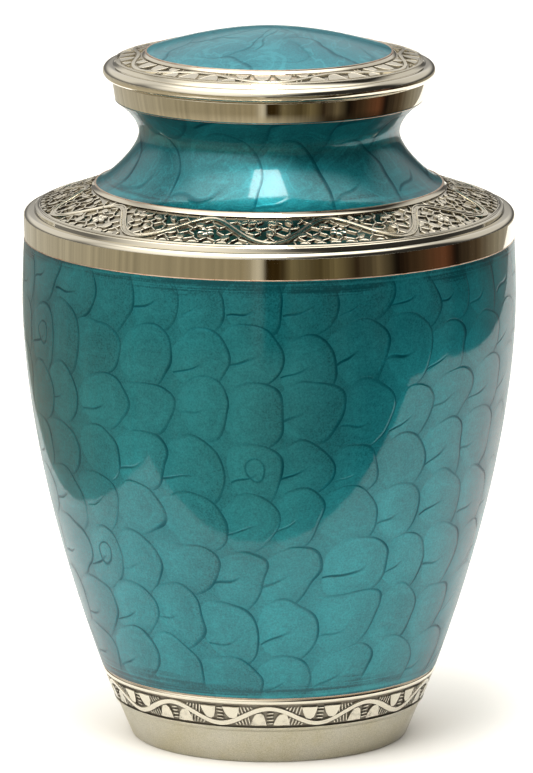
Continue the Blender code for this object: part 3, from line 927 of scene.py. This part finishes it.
class URN_OT_shoulder(bpy.types.Operator):
    """Turn the polished shoulder band and the rim round the neck's foot"""

    bl_idname = "urn.shoulder"
    bl_label = "Polished shoulder"

    def execute(self, context):
        t, s = context.scene.urn_turning, Stages(context.scene)
        center = (t.shoulder - t.edge_round, s.shoulder)
        edge = arc(center, t.edge_round, 88, 0, 14)
        lip = t.ring_outer + 2 * t.groove
        low = s.ledge - 0.7 * MM
        line = ([(t.ring_outer, s.ledge), (t.ring_outer + 0.3 * MM, s.ledge - 0.05 * MM),
                 (t.ring_outer + 0.55 * MM, s.ledge - 0.5 * MM),
                 (t.ring_outer + t.groove, low), (lip, low), (lip + 0.25 * MM, low - 0.2 * MM),
                 (lip + 0.5 * MM, s.shoulder + t.edge_round)]
                + edge + [(t.body_top, s.body_top)])
        inner = [(t.shoulder - 1.6 * MM, s.body_top), (t.shoulder - 2.6 * MM, s.shoulder),
                 (t.ring_outer, s.ledge - 1.6 * MM)]
        band = turn("shoulder_band", line + inner, t.segments)
        metal = context.scene.urn_metal
        hand_over(band, "vessel", polished_nickel(metal))
        top = s.neck_foot - t.rim_drop
        rim_line = [(t.neck_foot, s.neck_foot), (t.neck_foot + 0.5 * MM, s.neck_foot - 0.08 * MM),
                    (t.ring_inner - 0.5 * MM, top + 0.45 * MM), (t.ring_inner, top)]
        rim = turn("neck_rim", layer(rim_line, 1.0 * MM), t.segments)
        hand_over(rim, "vessel", polished_nickel(metal))
        return {"FINISHED"}


class URN_OT_shoulder_ring(bpy.types.Operator):
    """Engrave the shoulder ring: a grooved vine over a net of cells, with leaves and flowers"""

    bl_idname = "urn.shoulder_ring"
    bl_label = "Shoulder engraved ring"

    def execute(self, context):
        t, s, e = context.scene.urn_turning, Stages(context.scene), context.scene.urn_engraving
        strip = Strip(e, (t.ring_inner, s.neck_foot - t.rim_drop), (t.ring_outer, s.ledge),
                      e.shoulder_vine, e.shoulder_waves, e.shoulder_angle)
        half, top = e.shoulder_vine / 2, e.depth
        section = [(0, -SUNK), (-half - 0.15 * MM, -SUNK), (-half, top),
                   (-half + 0.35 * MM, top), (-half + 0.6 * MM, top - 0.3 * MM),
                   (half - 0.6 * MM, top - 0.3 * MM), (half - 0.35 * MM, top), (half, top),
                   (half + 0.15 * MM, -SUNK), (0, -SUNK)]
        shapes = [ribbon(strip, section, 28)]
        # Share of the wave, y in mm, half of its clear width in mm, and how it is turned.
        blooms = [(0.52, 12.0, 3.6, 0.3)]
        leaves = [(0.02, 4.2, 2.2, 0.4), (-0.13, 3.6, 2.0, 2.6), (0.16, 3.2, 2.0, 0.9),
                  (0.34, 14.8, 2.2, 1.2), (0.68, 14.6, 2.2, 1.9), (0.43, 6.6, 1.8, 0.2),
                  (0.0, 10.6, 1.9, 1.4), (0.26, 12.6, 1.7, 2.4), (0.8, 4.0, 1.6, 2.2)]
        discs = [(0.36, 1.6), (0.46, 1.8), (0.57, 1.6), (0.67, 1.8), (0.24, 1.4), (0.79, 1.4)]
        taken = [(share * strip.wave, y * MM, clear * MM) for share, y, clear, spin
                 in blooms + leaves]
        shapes += self.net(strip, taken, e)
        turns = [2 * pi * step / 12 for step in range(12)]
        petal = boss([((1.85 - 1.25 * cos(a)) * MM, 1.05 * MM * sin(a)) for a in turns], top,
                     0.2 * MM)
        heart = boss([(0.65 * MM * cos(a), 0.65 * MM * sin(a)) for a in turns], top, 0.15 * MM)
        leaf = boss([(0.95 * MM * cos(a) * (1 + 0.25 * cos(a)), 0.62 * MM * sin(a))
                     for a in turns], top, 0.15 * MM)
        disc = boss([(MM * cos(a), -MM * sin(a)) for a in
                     [pi * step / 9 for step in range(10)]], top, 0.12 * MM)
        for share, y, clear, spin in blooms:
            for step in range(5):
                turned = Matrix.Rotation(2 * pi * step / 5 + spin, 4, "Z")
                place = Matrix.Translation((share * strip.wave, y * MM, 0))
                shapes.append(copied(petal, place @ turned))
            shapes.append(copied(heart, place))
        for share, y, clear, spin in leaves:
            place = Matrix.Translation((share * strip.wave, y * MM, 0))
            grown = Matrix.Diagonal((clear, clear, 1, 1))
            shapes.append(copied(leaf, place @ Matrix.Rotation(spin, 4, "Z") @ grown))
        for share, radius in discs:
            place = Matrix.Translation((share * strip.wave, strip.width - 0.2 * MM, 0))
            shapes.append(copied(disc, place @ Matrix.Diagonal((radius, radius, 1, 1))))
        thrown_away([petal, heart, leaf, disc])
        wave = joined(shapes, "shoulder_wave")
        ground = turn("shoulder_ground", layer(strip.ground(), 1.0 * MM), t.segments)
        piece = finish_ring(strip, wave, ground, "shoulder_ring")
        hand_over(piece, "vessel", engraved_nickel("engraved_nickel_shoulder",
                                                   context.scene.urn_metal, 0.4, 0.12))
        return {"FINISHED"}

    def net(self, strip, taken, engraving):
        """Thin raised walls between the cells, left out where the vine and leaves lie."""
        random.seed(11)
        columns = 2 * round(strip.wave / engraving.cell)
        across = strip.wave / columns
        rows = round(strip.width / (engraving.cell * 0.85))
        up = strip.width / rows
        places = {}
        for row in range(rows + 1):
            for column in range(columns):
                zigzag = 0.22 * up * (1 if (row + column) % 2 else -1)
                x = (column + random.uniform(-0.3, 0.3)) * across
                y = row * up + zigzag + random.uniform(-0.15, 0.15) * up
                places[row, column] = (x, min(max(y, 0.1 * MM), strip.width - 0.1 * MM))

        def place(row, column):
            x, y = places[row, column % columns]
            return (x + (column // columns) * strip.wave, y)

        wall = bar(MM, engraving.stroke * 1.5, engraving.depth * 0.9)
        made = []
        for row in range(rows + 1):
            for column in range(columns):
                start = place(row, column)
                ends = [place(row, column + 1)] if 0 < row < rows else []
                if row < rows and (row + column) % 2:
                    ends.append(place(row + 1, column))
                for end in ends:
                    middle = ((start[0] + end[0]) / 2, (start[1] + end[1]) / 2)
                    if abs(strip.vine(middle[0]) - middle[1]) < strip.vine_width * 0.75:
                        continue
                    if any(hypot((middle[0] - x + strip.wave / 2) % strip.wave - strip.wave / 2,
                                 middle[1] - y) < clear for x, y, clear in taken):
                        continue
                    made.append(stretched(wall, start, end))
        thrown_away([wall])
        return made


class URN_OT_neck(bpy.types.Operator):
    """Turn the enamelled neck and the polished collar over it"""

    bl_idname = "urn.neck"
    bl_label = "Neck and collar"

    def execute(self, context):
        scene = context.scene
        t, s, metal, enamel = scene.urn_turning, Stages(scene), scene.urn_metal, scene.urn_enamel
        neck = turn("neck_enamel", layer(s.neck_line(40), SHEET), t.segments)
        finish = pearl_enamel("pearl_enamel_neck", enamel, enamel.deep, enamel.pale,
                              s.neck_foot - 4 * MM, lambda node, row: NECK_DABS,
                              enamel.row * NECK_ROWS, seed=3.0, lines=1.0, wisp=0.25,
                              edges=(s.neck_foot - 2 * MM, s.collar + 2 * MM))
        hand_over(neck, "vessel", finish)
        soft = 0.4 * MM
        outline = ([(t.mouth, s.collar), (t.mouth, s.mouth - soft)]
                   + arc((t.mouth + soft, s.mouth - soft), soft, 180, 90, 5)
                   + arc((t.collar_top - soft, s.mouth - soft), soft, 90, 0, 5)
                   + [(t.collar_bottom + 0.05 * MM, s.collar + 0.3 * MM),
                      (t.collar_bottom - 0.3 * MM, s.collar)])
        collar = turn("collar", outline, t.segments)
        hand_over(collar, "vessel", polished_nickel(metal))
        return {"FINISHED"}


class URN_OT_inside(bpy.types.Operator):
    """Turn the bare brass wall that shows inside the urn"""

    bl_idname = "urn.inside"
    bl_label = "Brass inside"

    def execute(self, context):
        t, s = context.scene.urn_turning, Stages(context.scene)
        foot_inside = t.foot_radius - 0.2 * MM
        line = ([(t.mouth + t.wall, s.collar + 2 * MM)] + s.neck_line(16)
                + [(t.ring_inner + 0.9 * MM, s.neck_foot - 2.6 * MM),
                   (t.ring_outer, s.ledge - 2.2 * MM), (t.shoulder - 0.4 * MM, s.shoulder)]
                + s.body_line(20)
                + [(t.lower_bottom - 0.7 * MM, s.fillet)])
        shell = inside_line(line, t.wall)
        behind = inside_line(line, t.wall * 0.5)
        floor = t.foot_recess + t.wall
        inner = shell[1:] + [(foot_inside, floor), (0.0, floor)]
        outer = [(0.0, floor - 0.5 * MM), (foot_inside + 0.4 * MM, floor - 0.5 * MM)]
        outline = outer + behind[1:][::-1] + inner
        piece = turn("inside_wall", outline, INSIDE_SEGMENTS)
        hand_over(piece, "vessel", spun_brass(context.scene.urn_metal))
        return {"FINISHED"}


class URN_OT_copper_edges(bpy.types.Operator):
    """Turn the thin copper lines at the edges of the enamel"""

    bl_idname = "urn.copper_edges"
    bl_label = "Copper edges"

    def execute(self, context):
        t, s = context.scene.urn_turning, Stages(context.scene)
        finish = copper_line(context.scene.urn_metal)
        places = [("neck_edge", (t.neck_foot + 0.02 * MM, s.neck_foot - 0.2 * MM), "vessel"),
                  ("collar_edge", (t.collar_bottom - 0.3 * MM, s.collar - 0.05 * MM), "vessel"),
                  ("body_top_edge", (t.body_top - 0.1 * MM, s.body_top + 0.05 * MM), "vessel"),
                  ("body_bottom_edge", (t.body_bottom - 0.25 * MM, s.body_bottom), "vessel"),
                  ("dome_edge", (t.dome_radius + 0.1 * MM, s.dome - 0.2 * MM), "lid")]
        for name, place, node in places:
            width = 0.42 * MM if name in ("neck_edge", "dome_edge") else 0.22 * MM
            piece = turn(name, arc(place, width, 0, 315, 8), t.segments)
            hand_over(piece, node, finish)
        return {"FINISHED"}


class URN_OT_lid(bpy.types.Operator):
    """Turn the lid: rounded edge, rim, enamelled dome, and the plug under it"""

    bl_idname = "urn.lid"
    bl_label = "Lid"

    def execute(self, context):
        scene = context.scene
        t, s, metal, enamel = scene.urn_turning, Stages(scene), scene.urn_metal, scene.urn_enamel
        half = t.lid_edge / 2
        center = (t.lid_radius - half, s.lid + half)
        shelf = t.lid_radius - half - t.lid_groove
        line = ([(t.lid_ring_outer, s.lid_ring),
                 (t.lid_ring_outer + 0.35 * MM, s.lid_ring - 0.15 * MM),
                 (shelf - 0.15 * MM, s.lid_shelf + 0.35 * MM), (shelf + 0.3 * MM, s.lid_shelf),
                 (center[0] - 0.5 * MM, s.lid_shelf)]
                + arc(center, half, 90, -90, 25))
        inner = [(t.lid_ring_outer - 1.2 * MM, s.lid), (t.lid_ring_outer - 1.2 * MM,
                                                        s.lid_ring - 1.5 * MM)]
        edge = turn("lid_edge", line + inner, t.segments)
        hand_over(edge, "lid", polished_nickel(metal))
        ring_top = s.lid_ring + t.lid_ring_rise
        rim_line = [(t.dome_radius, s.dome), (t.dome_radius + 0.35 * MM, s.dome - 0.1 * MM),
                    (t.lid_ring_inner - 0.35 * MM, ring_top + 0.35 * MM),
                    (t.lid_ring_inner, ring_top)]
        rim = turn("lid_rim", layer(rim_line, 1.0 * MM), t.segments)
        hand_over(rim, "lid", polished_nickel(metal))
        dome = turn("dome_enamel", layer(s.dome_line(28), SHEET), t.segments)
        finish = pearl_enamel("pearl_enamel_dome", enamel, enamel.dome_deep, enamel.dome,
                              s.dome - 3 * MM, lambda node, row: DOME_DABS, DOME_ROW, seed=5.0,
                              lines=0.6, wisp=0.4, edges=(s.dome - 6 * MM, s.dome + 20 * MM))
        hand_over(dome, "lid", finish)
        plug = t.mouth - t.plug_gap
        bore = plug - t.plug_wall
        ceiling = s.dome - t.lid_rim - 0.7 * MM - t.wall
        under = ([(plug, s.lid + 1.0 * MM), (plug, s.lid - t.plug_depth + 0.4 * MM),
                  (plug - 0.4 * MM, s.lid - t.plug_depth),
                  (bore + 0.4 * MM, s.lid - t.plug_depth),
                  (bore, s.lid - t.plug_depth + 0.4 * MM), (bore, ceiling - 0.85 * MM),
                  (t.lid_ring_inner, ceiling)])
        hollow = s.dome_line(14, t.wall)[::-1]
        above = s.dome_line(14, t.wall * 0.55)
        outline = (above[:-1] + [(t.lid_ring_inner - 1 * MM, ceiling + 0.7 * MM),
                                 (plug, s.lid_ring - 0.9 * MM)] + under + hollow[1:])
        piece = turn("lid_plug", outline, PLUG_SEGMENTS)
        hand_over(piece, "lid", spun_brass(metal))
        return {"FINISHED"}


class URN_OT_lid_ring(bpy.types.Operator):
    """Engrave the lid's ring: a flat vine with scroll leaves and sparse hatching"""

    bl_idname = "urn.lid_ring"
    bl_label = "Lid engraved ring"

    def execute(self, context):
        t, s, e = context.scene.urn_turning, Stages(context.scene), context.scene.urn_engraving
        ring_top = s.lid_ring + t.lid_ring_rise
        strip = Strip(e, (t.lid_ring_inner, ring_top), (t.lid_ring_outer, s.lid_ring),
                      e.lid_vine, e.lid_waves, e.lid_angle)
        half, top = e.lid_vine / 2, e.depth
        section = [(0, -SUNK), (-half - 0.15 * MM, -SUNK), (-half, top - 0.1 * MM),
                   (-half + 0.12 * MM, top), (half - 0.12 * MM, top), (half, top - 0.1 * MM),
                   (half + 0.15 * MM, -SUNK), (0, -SUNK)]
        shapes = [ribbon(strip, section, 32)]
        stroke = bar(MM, e.stroke, top * 0.85)
        for side, middle in ((-1, 0.0), (1, strip.wave / 2)):
            border, gap = strip.border(side, 0.9 * MM), 0.4 * MM
            shapes += hollow_leaves(strip, side, middle, border, gap, (
                (-0.19, 0.05), (-0.05, 0.062), (0.1, 0.062), (0.24, 0.045)))
            for share in (0.32, 0.35, 0.38, -0.3, -0.33, -0.36):
                x = middle + share * strip.wave
                end = strip.reach(x, side, gap)
                if abs(end - border) > 0.8 * MM:
                    shapes.append(stretched(stroke, (x, border), (x + 0.6 * MM, end)))
        thrown_away([stroke])
        wave = joined(shapes, "lid_wave")
        ground = turn("lid_ground", layer(strip.ground(), 0.8 * MM), t.segments)
        piece = finish_ring(strip, wave, ground, "lid_ring")
        hand_over(piece, "lid", engraved_nickel("engraved_nickel_lid",
                                                context.scene.urn_metal, 0.3, 0.25))
        return {"FINISHED"}


def aimed(holder, place, aim):
    """Put a lamp or camera in the scene, turned to what it points at."""
    bpy.context.collection.objects.link(holder)
    holder.location = place
    holder.rotation_euler = (Vector(aim) - Vector(place)).to_track_quat("-Z", "Y").to_euler()


class URN_OT_studio(bpy.types.Operator):
    """Set the pale table, the soft lights and the camera"""

    bl_idname = "urn.studio"
    bl_label = "Studio"

    def execute(self, context):
        studio = context.scene.urn_studio
        self.table(studio)
        self.room(context.scene)
        self.lights()
        self.camera(context.scene, studio)
        context.scene.view_settings.view_transform = "Standard"
        return {"FINISHED"}

    def table(self, studio):
        """The pale table, and the room beyond it that its reflections need."""
        bpy.ops.object.select_all(action="DESELECT")
        bpy.ops.mesh.primitive_grid_add(x_subdivisions=8, y_subdivisions=8, size=14.0)
        floor = bpy.context.object
        floor.name = "table"
        # Matt white laminate: an even, pale top with no gloss.
        made, node, place = new_finish("matt_white_laminate")
        speck = node("TexNoise", {"Vector": place, "Scale": 30.0, "Detail": 3.0})
        dim = tuple(value * 0.985 for value in studio.floor)
        shade = node("Mix", {0: speck, 6: (*studio.floor, 1), 7: (*dim, 1)}, data_type="RGBA")
        floor.data.materials.append(finished(made, shade, Roughness=0.7,
                                             Specular_IOR_Level=0.15))
        # What lies beyond the small table: a warm, dim room that only reflections see.
        bpy.ops.object.select_all(action="DESELECT")
        bpy.ops.mesh.primitive_circle_add(vertices=len(TABLE_CORNERS), radius=0.2,
                                          location=(0, 0, 0))
        surround = bpy.context.object
        surround.name = "room_beyond_table"
        for vertex, corner in zip(surround.data.vertices, TABLE_CORNERS):
            vertex.co = (*corner, 0.5 * MM)
        bpy.ops.object.mode_set(mode="EDIT")
        bpy.ops.mesh.select_all(action="SELECT")
        bpy.ops.mesh.extrude_region_move(TRANSFORM_OT_translate={"value": (0, 0, 0)})
        bpy.ops.transform.resize(value=(14, 2.2, 1), center_override=(0.2, 2.4, 0))
        bpy.ops.object.mode_set(mode="OBJECT")
        surround.data.materials.append(self.dim_room())
        surround.visible_camera = False
        surround.visible_diffuse = False
        surround.visible_shadow = False

    def dim_room(self):
        """The glow of the floor and the walls beyond the table, by their direction."""
        made, node, place = new_finish("dim_warm_room")
        tree = made.node_tree
        tree.nodes.remove(tree.nodes["Principled BSDF"])
        across, back = node("SeparateXYZ", (place,)).outputs[:2]
        front = node("Math", (back, -1.0), "MULTIPLY")
        share = node("Math", (across, front), "ARCTAN2")
        share = node("Math", (share, 1 / (2 * pi), 0.5), "MULTIPLY_ADD")
        # Upright shapes in the room, which the polished bands show as streaks.
        streaks = node("Math", (share, 90.0), "MULTIPLY")
        streaks = node("TexNoise", {"Vector": node("CombineXYZ", (streaks,)), "Scale": 1.0,
                                    "Detail": 4.0, "Roughness": 0.7})
        wavy = node("Math", (streaks, 0.02, -0.01), "MULTIPLY_ADD")
        share = node("Math", (share, wavy), "ADD")
        ramp = node("ValToRGB", (share,))
        while len(ramp.color_ramp.elements) < len(ROOM_COLOURS):
            ramp.color_ramp.elements.new(0.5)
        for element, (position, code) in zip(ramp.color_ramp.elements, ROOM_COLOURS):
            element.position = position
            element.color = (*linear(code), 1)
        # Close to the table the floor is plainer, and lighter to the left.
        plain = node("MapRange", (share, 0.49, 0.62))
        plain = node("Mix", {0: plain, 6: (*linear("#CFC3A8"), 1), 7: (*linear("#30281C"), 1)},
                     data_type="RGBA")
        distance = node("VectorMath", (place,), "LENGTH").outputs["Value"]
        far = node("MapRange", (distance, 0.5, 0.9), interpolation_type="SMOOTHSTEP")
        seen = node("Mix", {0: far, 6: plain.outputs[2], 7: ramp}, data_type="RGBA")
        strength = node("MapRange", (streaks, 0.3, 0.7, 0.7, 1.3))
        glow = node("Emission", {"Color": seen.outputs[2], "Strength": strength})
        connect(tree, tree.nodes["Material Output"], (glow,))
        return made

    def room(self, scene):
        """Soft light from all round."""
        world = bpy.data.worlds.new("soft_studio")
        scene.world = world
        world.use_nodes = True
        world.node_tree.nodes.clear()
        node = partial(add, world.node_tree)
        way = node("TexCoord").outputs["Generated"]
        right, back, up = node("SeparateXYZ", (way,)).outputs
        # A broad soft light from the front left, which the pearl and the plate catch.
        facing = node("VectorMath", (way, (-0.52, -0.56, 0.645)), "DOT_PRODUCT")
        facing = facing.outputs["Value"]
        key = node("MapRange", (facing, 0.5, 1.0, 0.0, 1.5), interpolation_type="SMOOTHSTEP")
        # A bright ceiling, and a white wall behind that starts above the table's horizon.
        ceiling = node("MapRange", (up, 0.72, 0.93, 0.0, 2.4), interpolation_type="SMOOTHSTEP")
        behind = node("MapRange", (back, 0.1, 0.5), interpolation_type="SMOOTHSTEP")
        wall = node("MapRange", (up, 0.08, 0.3, 0.05, 0.8), interpolation_type="SMOOTHSTEP")
        wall = node("Math", (behind, wall), "MULTIPLY")
        rest = node("MapRange", (right, -0.6, 0.5, 0.2, 0.04))
        total = key
        for part in (ceiling, wall, rest):
            total = node("Math", (total, part), "ADD")
        light = node("Background", {"Color": (*linear("#FFFBF4"), 1), "Strength": total})
        node("OutputWorld", (light,))

    def lights(self):
        """A softbox over the urn, and two lights that only the table and the colours show."""
        for name, place, aim, width, height, power, seen in LAMPS:
            lamp = bpy.data.lights.new(name, "AREA")
            lamp.shape = "RECTANGLE"
            lamp.size, lamp.size_y = width, height
            lamp.energy = power
            lamp.color = (1.0, 0.98, 0.95)
            holder = bpy.data.objects.new(name, lamp)
            holder.visible_glossy = seen
            aimed(holder, place, aim)

    def camera(self, scene, studio):
        """The camera, as far off and as high as the photo's."""
        lens = bpy.data.cameras.new("photo_camera")
        lens.lens = studio.lens
        lens.sensor_width = 36.0
        lens.clip_start, lens.clip_end = 0.05, 50.0
        camera = bpy.data.objects.new("photo_camera", lens)
        aimed(camera, (studio.side, -studio.camera_distance, studio.camera_height),
              (studio.side, 0, studio.aim_height))
        scene.camera = camera


PIECES = (URN_OT_foot, URN_OT_lower_ring, URN_OT_body, URN_OT_shoulder, URN_OT_shoulder_ring,
          URN_OT_neck, URN_OT_inside, URN_OT_lid, URN_OT_lid_ring, URN_OT_copper_edges,
          URN_OT_studio)
GROUPS = {"urn_turning": UrnTurning, "urn_engraving": UrnEngraving, "urn_enamel": UrnEnamel,
          "urn_metal": UrnMetal, "urn_studio": UrnStudio}


class URN_PT_panel(bpy.types.Panel):
    """The urn's pieces, sizes and colours"""

    bl_label = "Funeral urn"
    bl_idname = "URN_PT_panel"
    bl_space_type = "VIEW_3D"
    bl_region_type = "UI"
    bl_category = "Urn"

    def draw(self, context):
        for piece in PIECES:
            self.layout.operator(piece.bl_idname)
        for name, group in GROUPS.items():
            box = self.layout.box()
            for size_name in group.__annotations__:
                box.prop(getattr(context.scene, name), size_name)


def register():
    for name, group in GROUPS.items():
        bpy.utils.register_class(group)
        setattr(bpy.types.Scene, name, PointerProperty(type=group))
    for made in (*PIECES, URN_PT_panel):
        bpy.utils.register_class(made)


def unregister():
    for made in (URN_PT_panel, *PIECES[::-1]):
        bpy.utils.unregister_class(made)
    for name, group in GROUPS.items():
        delattr(bpy.types.Scene, name)
        bpy.utils.unregister_class(group)


def main():
    register()
    for piece in PIECES:
        group, name = piece.bl_idname.split(".")
        getattr(getattr(bpy.ops, group), name)()


if __name__ == "__main__":
    main()
